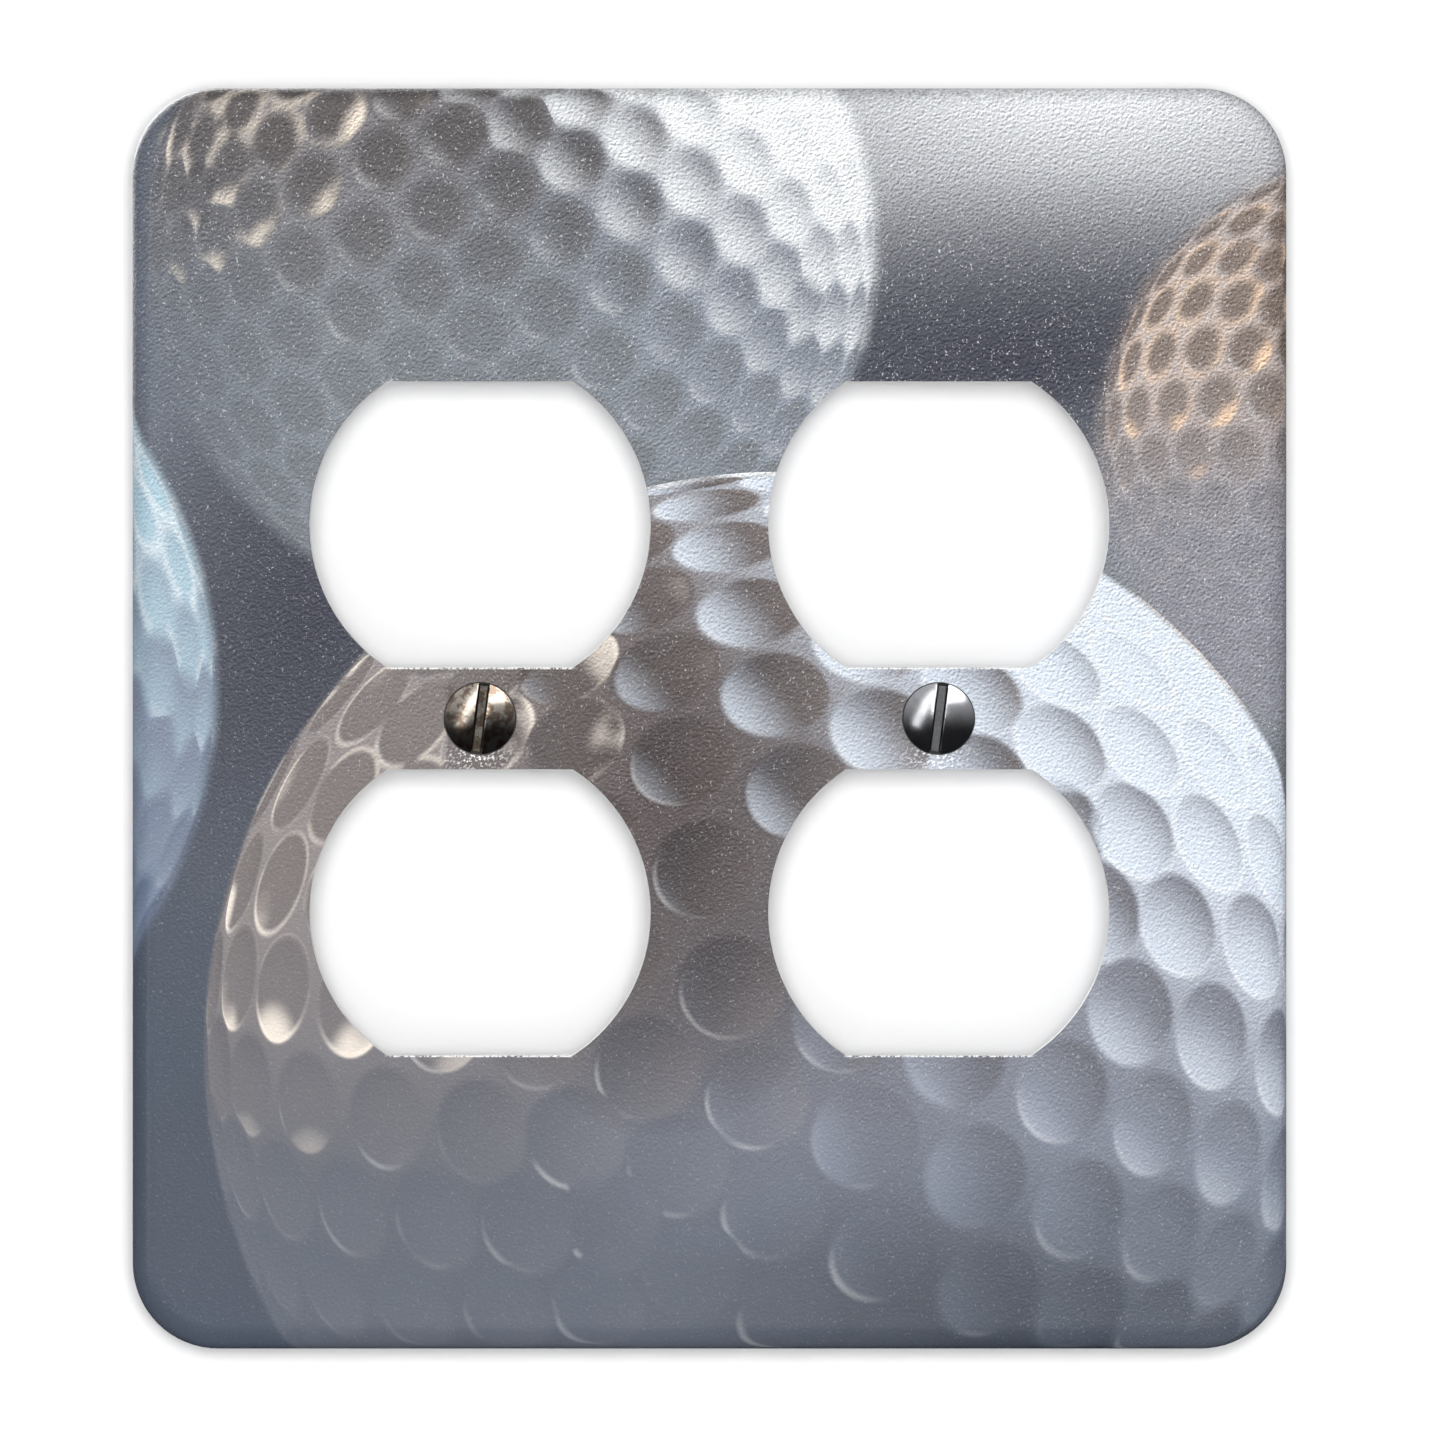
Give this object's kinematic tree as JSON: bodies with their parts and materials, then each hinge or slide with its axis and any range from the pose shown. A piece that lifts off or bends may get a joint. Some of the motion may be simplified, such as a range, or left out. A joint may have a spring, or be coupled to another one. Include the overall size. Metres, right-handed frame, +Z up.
{
  "type": "wall plate cover",
  "caption": "Rounded metal wall plate with openings for duplex receptacles, a printed face film and slotted oval-head screws.",
  "frame": {"origin": "middle of the plate, in the plane of its rim, where it meets the wall", "axes": "+X to the right and +Z up as seen from the room, +Y into the wall; the printed face looks towards -Y"},
  "size_m": [0.116, 0.0138, 0.1266],
  "materials": {
    "enamelled_steel": "light grey-white baked base coat",
    "printed_face": "printed, lightly textured gloss film",
    "screw_nickel": "bright nickel plate"
  },
  "bodies": {
    "plate": {"plate_shell": "enamelled_steel", "printed_film": "printed_face"},
    "left_fastener": {"left_screw": "screw_nickel"},
    "right_fastener": {"right_screw": "screw_nickel"}
  },
  "joints": [
    {"name": "left_screw_turn", "type": "hinge", "parent": "plate", "child": "left_fastener", "pos_m": [-0.023, -0.00548, 0], "axis": [0, 1, 0], "continuous": true},
    {"name": "right_screw_turn", "type": "hinge", "parent": "plate", "child": "right_fastener", "pos_m": [0.023, -0.00548, 0], "axis": [0, 1, 0], "continuous": true}
  ]
}
